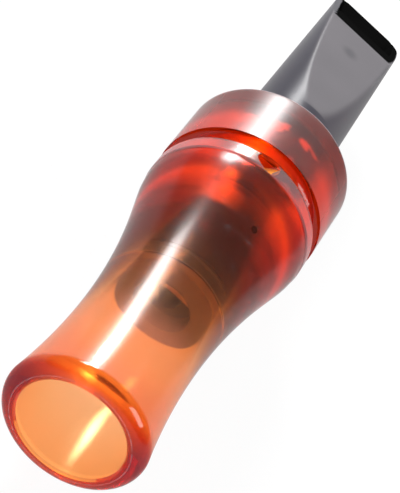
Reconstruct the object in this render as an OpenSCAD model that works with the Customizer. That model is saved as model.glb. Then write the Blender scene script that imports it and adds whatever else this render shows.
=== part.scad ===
// A closed-reed bird call: a flared barrel with a lanyard groove, a duckbill mouthpiece whose
// tube runs down inside the barrel, and a reed unit plugged into the lower end of that tube.
// Each piece is drawn about the call's own axis, along Z, with the bell's rim at zero and the
// bill's front facet towards -Y. The whole call is then laid on its side: its axis runs along
// +Y, its front facet looks up, and the origin lies under the middle of its length.

/* [Barrel] */
// Length of the barrel, from the bell's rim to the collar's face
barrel_l = 74.4; // [70:0.1:84]
// Radius that the bell's flare runs to at the rim, before the rim is rounded
bell_flare_r = 12.3; // [11.8:0.1:14]
// Radius of the outside at the waist
waist_r = 10.3; // [9.9:0.1:11.5]
// Distance of the waist from the bell's rim
waist_at = 21.6; // [14:0.1:28]
// How much less the shoulder band's radius is than the collar's
band_step = 0.1; // [0:0.05:0.5]
// Distance of the shoulder from the bell's rim
shoulder_at = 55.1; // [48:0.1:56]
// How softly the flare turns into the shoulder
shoulder_soft = 0.6; // [0.2:0.1:1.5]
// Radius of the collar
collar_r = 15; // [14:0.1:16.5]
// Radius of the rounded rim of the bell
rim_round = 2.2; // [1:0.1:2.4]
// Bevel round the collar's outer edge
collar_bevel = 0.5; // [0.2:0.1:1]

/* [Lanyard groove and hole] */
// Distance of the middle of the groove from the bell's rim
groove_at = 59.5; // [58.5:0.1:64]
// Radius of the round-bottomed groove
groove_r = 1.6; // [1.2:0.05:1.8]
// Depth of the groove below the collar
groove_depth = 1.75; // [1:0.05:2.2]
// How far above the shoulder the lanyard hole starts
lanyard_rise = 1.7; // [1.2:0.1:2]
// Radius of the lanyard hole, which is drilled aslant from the band into the groove
lanyard_hole_r = 1.6; // [1.2:0.1:1.7]
// How far the hole lies round the barrel from the bill's front facet, in degrees
lanyard_turn = -5.5; // [-60:0.5:60]
// Angle of the drilling below the surface, in degrees
lanyard_slant = 42; // [36:1:48]
// Bearing of the drilling, from across the barrel towards the bell, in degrees
lanyard_bearing = 20; // [10:1:40]
// Depth of the drilling, from the band
lanyard_depth = 5; // [4:0.1:6]

/* [Bore] */
// Radius of the bore at the bell's rim
bell_bore_r = 8.9; // [8.7:0.05:9.2]
// Length of the straight part of the bore, from the bell's rim
bell_bore_l = 14; // [8:0.5:20]
// Radius of the bore at the throat, below the socket
throat_r = 8.6; // [8.4:0.05:8.7]
// Radius of the socket that takes the mouthpiece's tube
socket_r = 8.95; // [8.9:0.05:9.3]
// Depth of the socket, from the collar's face to its ledge
socket_depth = 42.2; // [36:0.1:44]
// Break of the bore's edges
bore_edge = 0.35; // [0.1:0.05:0.6]

/* [Mouthpiece] */
// Length of the whole call, from the bell's rim to the tip of the bill
call_l = 131; // [122:0.1:138]
// Radial gap between the tube and the socket
tube_gap = 0.05; // [0.02:0.01:0.1]
// Radius of the tube's bore
tube_bore_r = 7; // [6.9:0.05:7.3]
// Radius of the round body at the tip
tip_r = 7.9; // [7.2:0.1:8.4]
// Height of the front facet above the axis at the tip
tip_front_h = 1.35; // [0.9:0.05:2]
// Height of the rear facet behind the axis at the tip
tip_back_h = 3.15; // [2.8:0.05:4]
// Distance of the front facet's start beyond the collar's face
front_facet_from = 9.8; // [6:0.1:14]
// Distance of the rear facet's start beyond the collar's face
back_facet_from = 9.8; // [6:0.1:14]
// Wall behind each facet
bill_wall = 1.1; // [0.8:0.05:1.3]
// Wall at the sides of the bill's tip
bill_side_wall = 1.2; // [0.9:0.05:1.5]
// Length of the slanting cut that opens the bill
mouth_cut_l = 14.2; // [9:0.1:16]
// Radius of the tip's two corners
tip_corner = 2.9; // [1.5:0.1:4]
// Radius of the moulding gate's dimple on the tube
gate_r = 0.5; // [0.3:0.05:0.8]
// Depth of the gate's dimple
gate_depth = 0.35; // [0.2:0.05:0.5]
// Distance of the gate's dimple from the bell's rim
gate_at = 50.2; // [46:0.2:60]
// How far the dimple lies round the tube from the front facet, in degrees
gate_turn = 22; // [-180:1:180]

/* [Seals] */
// Thickness of the two rings that seal the tube in the barrel
seal_d = 1; // [0.8:0.05:1.1]
// Distance of the upper ring below the collar's face
upper_seal_below = 21; // [16:0.5:26]
// Distance of the lower ring above the socket's ledge
lower_seal_above = 2.6; // [2:0.1:9]
// Thickness of the ring that seals the reed plug in the tube
plug_seal_d = 0.8; // [0.6:0.05:0.9]
// Distance of that ring above the socket's ledge
plug_seal_above = 6.5; // [4:0.5:8]

/* [Reed unit] */
// Radial gap between the plug's flange and the throat that it passes through
flange_gap = 0.1; // [0.05:0.01:0.3]
// Thickness of the flange
flange_t = 1.6; // [1.2:0.1:3.2]
// Length of the plug inside the tube
plug_l = 10; // [8:0.5:12]
// Radius of the plug's bore
tone_bore_r = 5; // [4.8:0.05:5.2]
// Depth of the open mouth of the plug's bore, below the tone board
tone_exit_l = 4.2; // [3.5:0.1:5]
// Length of the tone board
board_l = 32.8; // [28:0.1:34]
// Height of the board's face in front of the axis
board_face = 0.4; // [0.2:0.05:0.8]
// Angle at which the board's face falls away below the reed
board_ramp = 2.6; // [2.4:0.1:3.2]
// Radius of the tone channel in the board
channel_r = 2.3; // [1.8:0.05:2.6]
// Depth of the channel's axis below the board's face
channel_drop = 1.7; // [1.2:0.05:1.8]
// Solid end of the board beyond the channel
channel_end = 3.5; // [2.5:0.1:5]
// Width of the reed
reed_w = 7.6; // [6.5:0.1:8.2]
// Thickness of the reed
reed_t = 0.35; // [0.25:0.05:0.5]
// Length of the reed that the wedge covers
reed_root = 4; // [3:0.25:5]
// Solid end of the board beyond the reed's tip
reed_short = 1.5; // [1:0.1:3]
// Radius of the reed's two tip corners
reed_corner = 1.6; // [0.8:0.1:2.5]

/* [Hidden] */
$fn = 96;

// One overrun serves every cut.
over = 1;
// Gap between a seal and the bore that it runs in
seal_gap = 0.03;
// Play of a seal in its groove, at the floor and at each side
seal_floor_gap = 0.02;
seal_side_gap = 0.15;
// Gap between pieces that are pushed together for good
press_gap = 0.02;
// Gap on each side of the reed's root, which lets it rock
reed_gap = 0.1;
// Gap at the reed's lower end
reed_end_gap = 0.3;
// Break of the small edges of the tube and the plug
small_edge = 0.15;

rim_steps = 10;
flare_steps = 44;

seat_z = barrel_l - socket_depth;
shoulder_r = collar_r - band_step;
rim_centre_r = flare_r(rim_round) - rim_round;
tube_r = socket_r - tube_gap;
plug_r = tube_bore_r - tube_gap;
flange_r = throat_r - flange_gap;
plug_bottom = seat_z - flange_t;
plug_top = seat_z + plug_l;
board_bottom = plug_bottom + tone_exit_l;
board_top = board_bottom + board_l;
board_r = tone_bore_r - press_gap;
reed_bottom = plug_top - reed_root;
reed_tip = board_top - reed_short;
reed_back = -(board_face + reed_gap);
wedge_face = -(board_face + reed_t + 2 * reed_gap);

upper_seal_z = barrel_l - upper_seal_below;
lower_seal_z = seat_z + lower_seal_above;
plug_seal_z = seat_z + plug_seal_above;

front_facet_z = barrel_l + front_facet_from;
back_facet_z = barrel_l + back_facet_from;
front_slope = (body_r(front_facet_z) - tip_front_h) / (call_l - front_facet_z);
back_slope = (body_r(back_facet_z) - tip_back_h) / (call_l - back_facet_z);
reach_r = tube_r + over;
mouth_z = call_l - mouth_cut_l;
mouth_h = tip_front_h + front_slope * mouth_cut_l;
lip_y = tip_back_h - bill_wall / cos(atan(back_slope));
mouth_rise = mouth_cut_l / (lip_y + mouth_h);

// Rise of a circle's arc at a distance from its flat point, where it climbs to rise at reach.
function arc_rise(distance, reach, rise) =
    let (r = (reach * reach + rise * rise) / (2 * rise)) r - sqrt(r * r - distance * distance);

// The smaller of two radii, with the corner between them eased over the length k.
function soft_min(a, b, k) = (a + b - sqrt((a - b) * (a - b) + k * k)) / 2;

// Radius of the barrel's outside from the bell's rim to the shoulder: two arcs meet at the waist.
function flare_r(z) =
    let (bell = arc_rise(waist_at - z, waist_at, bell_flare_r - waist_r))
    let (climb = shoulder_r - waist_r + shoulder_soft)
    let (flare = arc_rise(z - waist_at, shoulder_at - waist_at, climb))
    soft_min(waist_r + (z < waist_at ? bell : flare), shoulder_r, shoulder_soft);

// Radius of the mouthpiece's round body, which tapers from the collar's face to the tip.
function body_r(z) = tube_r + (tip_r - tube_r) * (z - barrel_l) / (call_l - barrel_l);

// Side view of the bill as [y, z] points: two facets close on each other, both moved in by inset.
function bill_side(inset, end_z) =
    let (front = tip_front_h - inset / cos(atan(front_slope)))
    let (back = tip_back_h - inset / cos(atan(back_slope)))
    let (past = end_z - call_l)
    [
        [-reach_r, seat_z - flange_t],
        [-reach_r, call_l - (reach_r - front) / front_slope],
        [-(front - front_slope * past), end_z],
        [back - back_slope * past, end_z],
        [reach_r, call_l - (reach_r - back) / back_slope],
        [reach_r, seat_z - flange_t]
    ];

// Lays the call on its side, with its axis along +Y and its front facet up.
module lay() {
    translate([0, -call_l / 2, collar_r]) rotate([-90, 0, 0]) children();
}

// A flat outline of [y, z] points, made as wide as the call and centred on it.
module across(outline) {
    rotate([90, 0, 90])
        linear_extrude(2 * reach_r, center = true) polygon(outline);
}

// A round-section ring that seals against a bore of radius bore_r.
module seal_ring(at_z, bore_r, d) {
    translate([0, 0, at_z])
        rotate_extrude() translate([bore_r - seal_gap - d / 2, 0]) circle(d = d);
}

// The square groove that such a ring lies in.
module seal_groove(at_z, bore_r, d) {
    width = d + 2 * seal_side_gap;
    translate([0, 0, at_z - width / 2]) difference() {
        cylinder(r = bore_r + over, h = width);
        translate([0, 0, -over])
            cylinder(r = bore_r - seal_gap - d - seal_floor_gap, h = width + 2 * over);
    }
}

module barrel_outline() {
    rim = [for (i = [0 : rim_steps]) let (turn = -90 + 90 * i / rim_steps)
        [rim_centre_r + rim_round * cos(turn), rim_round * (1 + sin(turn))]];
    flare = [for (i = [1 : flare_steps]) let (z = rim_round + (shoulder_at - rim_round) * i / flare_steps)
        [flare_r(z), z]];
    polygon(concat([[0, 0]], rim, flare, [
        [shoulder_r, shoulder_at],
        [shoulder_r, groove_at],
        [collar_r, groove_at],
        [collar_r, barrel_l - collar_bevel],
        [collar_r - collar_bevel, barrel_l],
        [0, barrel_l]
    ]));
}

// The bore runs straight in from the bell, narrows to the throat and steps out to the socket.
module barrel_bore() {
    rotate_extrude() polygon([
        [0, -over],
        [bell_bore_r + bore_edge + over, -over],
        [bell_bore_r, bore_edge],
        [bell_bore_r, bell_bore_l],
        [throat_r, seat_z],
        [socket_r, seat_z],
        [socket_r, barrel_l - bore_edge],
        [socket_r + bore_edge + over, barrel_l + over],
        [0, barrel_l + over]
    ]);
}

// The hole starts on the band and runs in and round, so that it breaks into the groove.
module lanyard_hole() {
    rotate([0, 0, lanyard_turn]) translate([0, -shoulder_r, shoulder_at + lanyard_rise])
        rotate([0, lanyard_bearing, 0]) rotate([0, 0, -lanyard_slant]) rotate([0, 90, 0])
            translate([0, 0, -lanyard_depth])
                cylinder(r = lanyard_hole_r, h = lanyard_depth + 2 * over);
}

module barrel() {
    color("orangered") lay() difference() {
        rotate_extrude() difference() {
            barrel_outline();
            translate([collar_r - groove_depth + groove_r, groove_at]) circle(r = groove_r);
        }
        barrel_bore();
        lanyard_hole();
    }
}

// The body before it is hollowed: a tube below the collar's face and a taper above it.
module mouthpiece_body() {
    intersection() {
        rotate_extrude() polygon([
            [0, seat_z],
            [tube_r - small_edge, seat_z],
            [tube_r, seat_z + small_edge],
            [tube_r, barrel_l],
            [tip_r, call_l],
            [0, call_l]
        ]);
        across(bill_side(0, call_l));
    }
}

// The windway: the tube's round bore, flattened between the two facets towards the tip.
module windway() {
    intersection() {
        rotate_extrude() polygon([
            [0, seat_z - over],
            [tube_bore_r, seat_z - over],
            [tube_bore_r, barrel_l],
            [tip_r - bill_side_wall, call_l],
            [tip_r - bill_side_wall, call_l + over],
            [0, call_l + over]
        ]);
        across(bill_side(bill_wall, call_l + over));
    }
}

// What the slanting cut takes off the front of the tip.
module mouth_cut() {
    across([
        [-reach_r, mouth_z - (reach_r - mouth_h) * mouth_rise],
        [lip_y, call_l],
        [lip_y + over / mouth_rise, call_l + over],
        [-reach_r, call_l + over]
    ]);
}

// What the rounding takes off one corner of the tip, on the +X side.
module tip_corner_cut() {
    centre_z = call_l - tip_corner;
    centre_x = body_r(centre_z) - tip_corner;
    translate([centre_x, 0, centre_z]) rotate([90, 0, 0])
        linear_extrude(2 * reach_r, center = true) difference() {
            square(tip_corner + over);
            circle(r = tip_corner);
        }
}

module gate_dimple() {
    rotate([0, 0, gate_turn]) translate([0, -tube_r + gate_depth, gate_at])
        rotate([90, 0, 0]) cylinder(r = gate_r, h = gate_depth + over);
}

module mouthpiece() {
    color("dimgray") lay() difference() {
        mouthpiece_body();
        windway();
        mouth_cut();
        tip_corner_cut();
        mirror([1, 0, 0]) tip_corner_cut();
        seal_groove(upper_seal_z, socket_r, seal_d);
        seal_groove(lower_seal_z, socket_r, seal_d);
        gate_dimple();
    }
}

module upper_o_ring() {
    color("black") lay() seal_ring(upper_seal_z, socket_r, seal_d);
}

module lower_o_ring() {
    color("black") lay() seal_ring(lower_seal_z, socket_r, seal_d);
}

module plug_o_ring() {
    color("black") lay() seal_ring(plug_seal_z, tube_bore_r, plug_seal_d);
}

// The plug closes the tube's lower end, and its flange stops against the tube's end face.
module reed_plug() {
    color("saddlebrown") lay() difference() {
        rotate_extrude() polygon([
            [0, plug_bottom],
            [flange_r - small_edge, plug_bottom],
            [flange_r, plug_bottom + small_edge],
            [flange_r, seat_z],
            [plug_r, seat_z],
            [plug_r, plug_top - small_edge],
            [plug_r - small_edge, plug_top],
            [0, plug_top]
        ]);
        translate([0, 0, plug_bottom - over])
            cylinder(r = tone_bore_r, h = flange_t + plug_l + 2 * over);
        seal_groove(plug_seal_z, tube_bore_r, plug_seal_d);
    }
}

// The channel that carries the reed's sound down to the bell, open along the board's face.
module tone_channel() {
    channel_l = board_l - channel_end + over;
    axis_y = channel_drop - board_face;
    translate([0, axis_y, board_bottom - over]) cylinder(r = channel_r, h = channel_l);
    translate([-channel_r, axis_y - reach_r, board_bottom - over])
        cube([2 * channel_r, reach_r, channel_l]);
}

// A half-round board: flat where the wedge grips the reed, then falling away below it.
module tone_board() {
    drop = (board_top - plug_top) * tan(board_ramp);
    color("darkslategray") lay() difference() {
        intersection() {
            translate([0, 0, board_bottom]) cylinder(r = board_r, h = board_l);
            across([
                [-board_face, board_bottom],
                [-board_face, plug_top],
                [drop - board_face, board_top],
                [reach_r, board_top],
                [reach_r, board_bottom]
            ]);
        }
        tone_channel();
    }
}

// A thin tongue with two rounded tip corners.
module reed() {
    half_w = reed_w / 2;
    corner_z = reed_tip - reed_corner;
    color("gold") lay() translate([0, reed_back, 0]) rotate([90, 0, 0]) linear_extrude(reed_t) {
        translate([-half_w, reed_bottom]) square([reed_w, corner_z - reed_bottom]);
        translate([reed_corner - half_w, reed_bottom])
            square([reed_w - 2 * reed_corner, reed_tip - reed_bottom]);
        for (side = [-1, 1])
            translate([side * (half_w - reed_corner), corner_z]) circle(r = reed_corner);
    }
}

// A cork wedge fills the plug's bore in front of the reed, with a rebate for the reed's root.
module reed_wedge() {
    color("tan") lay() intersection() {
        translate([0, 0, board_bottom]) cylinder(r = board_r, h = plug_top - board_bottom);
        across([
            [-reach_r, board_bottom],
            [-reach_r, plug_top],
            [wedge_face, plug_top],
            [wedge_face, reed_bottom - reed_end_gap],
            [-board_face - press_gap, reed_bottom - reed_end_gap],
            [-board_face - press_gap, board_bottom]
        ]);
    }
}

barrel();
mouthpiece();
upper_o_ring();
lower_o_ring();
reed_plug();
plug_o_ring();
tone_board();
reed();
reed_wedge();
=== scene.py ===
# %% [markdown]
# # A closed-reed bird call
# The call is a flared barrel of translucent orange acrylic with a smoke-grey duckbill
# mouthpiece pushed into it. A tube of the mouthpiece runs down inside the barrel and holds a
# small reed unit, which shows through the acrylic as a dark shape.
#
# The CAD model gives the exact place of every piece, so it could simply be given materials.
# But clear material shows every facet of a coarse mesh as a ripple. So the two pieces that
# light passes through or glides along are drawn again here as fine smooth surfaces, and the
# pieces inside keep their CAD shape and get a finish each.

# %% Load the CAD model
import bpy
import numpy as np
from mathutils import Matrix, Vector


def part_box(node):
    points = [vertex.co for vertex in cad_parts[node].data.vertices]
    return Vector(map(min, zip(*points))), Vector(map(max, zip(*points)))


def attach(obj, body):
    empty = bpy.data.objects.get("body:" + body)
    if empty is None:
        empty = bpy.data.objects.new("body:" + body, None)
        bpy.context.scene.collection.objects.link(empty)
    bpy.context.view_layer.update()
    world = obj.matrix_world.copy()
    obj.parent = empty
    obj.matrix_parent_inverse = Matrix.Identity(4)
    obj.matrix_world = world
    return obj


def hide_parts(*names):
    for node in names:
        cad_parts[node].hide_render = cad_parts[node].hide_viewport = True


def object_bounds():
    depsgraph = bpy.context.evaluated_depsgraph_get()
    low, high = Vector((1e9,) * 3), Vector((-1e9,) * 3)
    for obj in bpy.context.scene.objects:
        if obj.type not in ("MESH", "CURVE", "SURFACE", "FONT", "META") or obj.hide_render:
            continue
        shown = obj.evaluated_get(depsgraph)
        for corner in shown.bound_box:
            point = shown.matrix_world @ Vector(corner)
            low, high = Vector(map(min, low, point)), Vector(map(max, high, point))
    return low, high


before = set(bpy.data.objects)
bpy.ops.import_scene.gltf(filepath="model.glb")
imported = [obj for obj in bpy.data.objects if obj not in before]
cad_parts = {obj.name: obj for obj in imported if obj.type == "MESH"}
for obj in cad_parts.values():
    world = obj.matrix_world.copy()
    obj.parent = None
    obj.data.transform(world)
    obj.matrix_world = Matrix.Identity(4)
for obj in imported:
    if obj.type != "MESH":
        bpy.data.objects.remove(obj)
cad_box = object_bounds()
print("CAD box in mm:", np.round(np.array(cad_box) * 1000, 2).tolist())

# %% [markdown]
# ## Sizes
# The call lies on its side, on its collar. Its axis runs along Y at the height of the collar's
# radius, the bell's rim is at the low end, and the flat front of the bill looks up. A turner
# would measure everything from the bell's rim, along and out from the axis, in millimetres.
# The sizes are kept that way. The long ones are read from the CAD pieces, so that both models
# agree, and `lay_down` turns a place on the call into metres in the frame.

# %% The main sizes in mm, and the way from the call's axis to the frame
MM_PER_M = 1000.0
call_size = np.subtract(cad_box[1], cad_box[0]) * MM_PER_M
barrel_low, barrel_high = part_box("barrel")
barrel_size = np.subtract(barrel_high, barrel_low) * MM_PER_M
CALL_L, BARREL_L = round(float(call_size[1]), 1), round(float(barrel_size[1]), 1)
COLLAR_R = round(float(barrel_size[0]) / 2, 1)
AXIS_H = COLLAR_R
SOCKET_DEPTH, SOCKET_R, TUBE_GAP, TUBE_BORE_R = 42.2, 8.95, 0.05, 7.0
SEAT_Z, TUBE_R = BARREL_L - SOCKET_DEPTH, SOCKET_R - TUBE_GAP


def lay_down(x, y, z):
    """Points drawn about the call's own axis become metres in the frame.
    In words: (x, y, z) goes to (x, z - half the length, axis height - y)."""
    return np.stack([x, z - CALL_L / 2, AXIS_H - y], axis=-1) / MM_PER_M


print("call", CALL_L, "mm long, barrel", BARREL_L, "mm, axis", AXIS_H, "mm above the floor")

# %% [markdown]
# ## Surfaces from grids
# Both new pieces are round things, so each is drawn as a grid of points: the rows are stations
# along the wall and the columns go round the axis. Blender's Screw modifier could turn the
# barrel, but it couldn't make the bill. One grid function serves both, and every point comes
# from a formula.


# %% A closed mesh from a grid of points
def grid_mesh(name, points):
    """A mesh from a rows x columns grid of points. The last column joins round to the first,
    and the last row to the first, so the wall is closed. Each face is (row, col),
    (row, col + 1), (row + 1, col + 1), (row + 1, col)."""
    rows, cols = points.shape[:2]
    row, col = np.arange(rows)[:, None], np.arange(cols)[None, :]
    next_row, next_col = (row + 1) % rows, (col + 1) % cols
    corners = [row * cols + col, row * cols + next_col, next_row * cols + next_col, next_row * cols + col]
    faces = np.stack(corners, axis=-1)
    mesh = bpy.data.meshes.new(name)
    mesh.from_pydata(points.reshape(-1, 3), [], faces.reshape(-1, 4).tolist())
    mesh.shade_smooth()
    piece = bpy.data.objects.new(name, mesh)
    bpy.context.scene.collection.objects.link(piece)
    return piece


def stations(radius, height):
    """(radius, height) pairs, one to a row. A single number serves for every pair."""
    return np.stack(np.broadcast_arrays(radius, height), axis=1)


print("two stations at one radius:", stations(TUBE_R, np.array([SEAT_Z, BARREL_L])).tolist())

# %% [markdown]
# ## The camera
# The photograph looks down on the lying call from beyond the bell, with a long lens, and the
# call runs from the lower left to the upper right of the picture. The lens, the place and the
# three directions of the camera were fitted to the barrel's round edges, which show as
# ellipses: that is surer than turning the view by eye.

# %% Camera
LENS_MM, SENSOR_MM, NEAREST_M = 135.1, 36.0, 0.01
EYE_AT = (-0.02823, -0.23790, 0.21489)
EYE_RIGHT, EYE_UP = (0.73668, 0.40206, 0.54374), (-0.66994, 0.54341, 0.50585)
EYE_BACK = (-0.09209, -0.73692, 0.66967)

eye = bpy.data.cameras.new("eye")
eye.lens, eye.sensor_width, eye.clip_start = LENS_MM, SENSOR_MM, NEAREST_M
camera = bpy.data.objects.new("camera", eye)
bpy.context.scene.collection.objects.link(camera)
facing = Matrix((EYE_RIGHT, EYE_UP, EYE_BACK)).transposed()
camera.matrix_world = Matrix.Translation(EYE_AT) @ facing.to_4x4()
bpy.context.scene.camera = camera
print("camera", round(camera.location.length * MM_PER_M), "mm from the middle of the call")

# %% [markdown]
# ## Building with nodes
# A finish is a small graph of nodes. Wiring each one by hand takes five lines a node, so a few
# helpers do it in one: they take the node tree and the inputs, and hand back an output that
# the next one can use. The arithmetic comes first, because everything else leans on it.


# %% A new material, and feeding a socket
def new_material(name):
    """An empty node material: returns it with its node tree and its output node."""
    material = bpy.data.materials.new(name)
    material.use_nodes = True
    tree = material.node_tree
    tree.nodes.clear()
    return material, tree, tree.nodes.new("ShaderNodeOutputMaterial")


def feed(tree, value, socket):
    """Gives a socket its value: a number is set on it, and another node's output is linked."""
    if isinstance(value, (int, float)):
        socket.default_value = value
    else:
        tree.links.new(value, socket)


print("a socket takes a number or another node's output:", feed.__name__)


# %% Arithmetic, and the kinds of ray
def math(tree, operation, a, b=0.0, c=0.0, clamp=False):
    """One Math node; each of its inputs is a number or another node's output."""
    node = tree.nodes.new("ShaderNodeMath")
    node.operation, node.use_clamp = operation, clamp
    for socket, value in zip(node.inputs, (a, b, c)):
        feed(tree, value, socket)
    return node.outputs[0]


def times(tree, a, b, plus=0.0):
    """a times b, plus a third value."""
    return math(tree, "MULTIPLY_ADD", a, b, plus)


def larger(tree, a, b):
    """The larger of a and b."""
    return math(tree, "MAXIMUM", a, b)


def ray_kinds(tree):
    """For each ray, 1 or 0 for: from the camera, off a gloss, through clear material, and
    mirrored. A blurred ray through clear material counts as gloss too, so a mirrored ray is
    one that is gloss alone."""
    path = tree.nodes.new("ShaderNodeLightPath")
    kinds = ("Is Camera Ray", "Is Glossy Ray", "Is Transmission Ray")
    seen, gloss, through = (path.outputs[kind] for kind in kinds)
    return seen, gloss, through, math(tree, "SUBTRACT", gloss, through, clamp=True)


print("helpers for sums:", [f.__name__ for f in (math, times, larger, ray_kinds)])

# %% [markdown]
# ## Floor and sky
# The call was photographed on white. A floor that is only lit would turn out grey at its far
# end, so the sheet also glows for the camera and for the rays that come off or through the
# call: a strength of 1 is white. A tenth of it stays plain diffuse, and takes the soft shadow.
# Mirrored rays find floor and sky a little darker, which keeps the acrylic's sides from
# washing out, and rays through the acrylic find them brighter, which makes the bell glow.

# %% The white sheet
SHEET_GREY, GLOW, GLOW_SHARE = 0.80, 1.035, 0.90
GLOW_LESS_MIRRORED, GLOW_MORE_THROUGH = -0.45, 0.15
FLOOR_M = 6.0

bpy.ops.mesh.primitive_plane_add(size=FLOOR_M)
floor = bpy.context.object
floor.name = "floor"
sheet, tree, output = new_material("white_sheet")
paper = tree.nodes.new("ShaderNodeBsdfDiffuse")
paper.inputs["Color"].default_value = (SHEET_GREY, SHEET_GREY, SHEET_GREY, 1)
light = tree.nodes.new("ShaderNodeEmission")
light.inputs["Color"].default_value = (1, 1, 1, 1)
seen, gloss, through, mirrored = ray_kinds(tree)
strength = times(tree, mirrored, GLOW_LESS_MIRRORED, GLOW)
feed(tree, times(tree, through, GLOW_MORE_THROUGH, strength), light.inputs["Strength"])
blend = tree.nodes.new("ShaderNodeMixShader")
shown = larger(tree, larger(tree, seen, gloss), through)
feed(tree, times(tree, shown, GLOW_SHARE), blend.inputs[0])
feed(tree, paper.outputs[0], blend.inputs[1])
feed(tree, light.outputs[0], blend.inputs[2])
feed(tree, blend.outputs[0], output.inputs["Surface"])
floor.data.materials.append(sheet)
print("floor:", FLOOR_M, "m wide, glow", GLOW)

# %% The sky
SKY, SKY_MORE_SEEN, SKY_MORE_THROUGH, SKY_LESS_MIRRORED = 0.35, 0.65, 0.75, -0.22

world = bpy.data.worlds.new("studio")
bpy.context.scene.world = world
world.use_nodes = True
tree = world.node_tree
background = tree.nodes["Background"]
background.inputs["Color"].default_value = (1, 1, 1, 1)
seen, _, through, mirrored = ray_kinds(tree)
level = times(tree, seen, SKY_MORE_SEEN, times(tree, through, SKY_MORE_THROUGH, SKY))
feed(tree, times(tree, mirrored, SKY_LESS_MIRRORED, level), background.inputs["Strength"])
print("sky level:", SKY, "and", SKY + SKY_MORE_SEEN, "for the camera")

# %% [markdown]
# ## Lamps
# Four soft lamps light the call, as in a small product studio. The strip stands behind it on
# the left and draws the long white streak down the barrel. The box beside it makes the broad
# highlight of the collar. The back lamp is large and weak and lifts the bill, and the fill
# comes from the right. A lamp's length decides how long its streak is, so each has a
# direction for its long side.


# %% Lamps
def lamp(name, toward, distance, long_side, length, width, power):
    """A rectangular soft lamp. It stands `distance` from the call in the direction `toward`,
    faces the call, and its length runs as near as it can to the direction long_side."""
    light = bpy.data.lights.new(name, "AREA")
    light.shape, light.size, light.size_y, light.energy = "RECTANGLE", length, width, power
    holder = bpy.data.objects.new(name, light)
    bpy.context.scene.collection.objects.link(holder)
    outward = Vector(toward).normalized()
    along = (Vector(long_side) - outward * outward.dot(Vector(long_side))).normalized()
    turn = Matrix((along, outward.cross(along), outward)).transposed()
    holder.matrix_world = Matrix.Translation(outward * distance) @ turn.to_4x4()
    return holder


lamp("strip", toward=(-0.51, 0.65, 0.55), distance=0.60, long_side=(0.27, 0.29, -0.06),
     length=0.23, width=0.13, power=3.2)
lamp("box", toward=(-0.37, 0.78, 0.48), distance=0.60, long_side=(0.3, 0.0, 1.0),
     length=0.14, width=0.08, power=1.8)
lamp("back", toward=(0.09, 0.90, 0.42), distance=1.00, long_side=(1, 0, 0),
     length=0.50, width=0.30, power=0.5)
lamp("fill", toward=(0.75, -0.25, 0.62), distance=0.80, long_side=(0, 1, 0),
     length=0.40, width=0.40, power=2.8)

# %% [markdown]
# ## The barrel's outline
# The real barrel is turned from an acrylic rod: bell, waist, shoulder band, a round-bottomed
# lanyard groove and a collar. A turner shapes the flare with two sweeps of the tool, so here
# it is two circular arcs that meet at the waist. A spline through points read off the
# photograph would do too, but arcs stay smooth when a size changes. The second arc turns into
# the shoulder's straight band through a soft corner.

# %% The outside, from the bell to the shoulder
WAIST_R, WAIST_Z, BELL_RISE = 10.3, 21.6, 2.0
SHOULDER_R, SHOULDER_Z, SHOULDER_EASE = 14.9, 55.1, 0.6


def arc_rise(distance, reach, rise):
    """Rise of a circular arc at a distance from its flat point: radius - sqrt(radius squared
    - distance squared), where the arc climbs to `rise` at `reach`."""
    radius = (reach ** 2 + rise ** 2) / (2 * rise)
    return radius - np.sqrt(np.maximum(radius ** 2 - distance ** 2, 0))


def soft_min(a, b, k):
    """The smaller of a and b with the corner eased:
    (a + b - sqrt((a - b) squared + k squared)) / 2."""
    return (a + b - np.sqrt((a - b) ** 2 + k ** 2)) / 2


def flare_r(z):
    """The outside from bell to shoulder: an arc falls to the waist, another climbs from it and
    turns softly into the shoulder's radius."""
    bell = arc_rise(WAIST_Z - z, WAIST_Z, BELL_RISE)
    upper = arc_rise(z - WAIST_Z, SHOULDER_Z - WAIST_Z, SHOULDER_R - WAIST_R + SHOULDER_EASE)
    return soft_min(WAIST_R + np.where(z < WAIST_Z, bell, upper), SHOULDER_R, SHOULDER_EASE)


print("radius at waist and shoulder:", [round(float(flare_r(z)), 2) for z in (WAIST_Z, SHOULDER_Z)])

# %% [markdown]
# ## The barrel's wall
# The whole wall is one closed outline: up the outside from the rim, over the collar's face,
# down the socket to the ledge that the tube stands on, through the throat, and out along the
# bell's bore. A closed outline swept round gives a watertight wall, which a material with
# refraction and absorption needs. The rim and the groove are arcs with many stations, because
# they carry the sharpest highlights.

# %% Up the outside of the wall
RIM_ROUND, GROOVE_Z, GROOVE_ROUND, GROOVE_MID_R = 2.2, 59.5, 1.6, 14.85
COLLAR_EDGE = 0.5
EDGE_SHARES = np.array([(0.92, 0.30), (0.72, 0.64), (0.44, 0.86), (0.0, 1.0)])
RIM_ROWS, FLARE_ROWS, BAND_ROWS, GROOVE_ROWS, COLLAR_ROWS = 22, 101, 12, 30, 16


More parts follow.
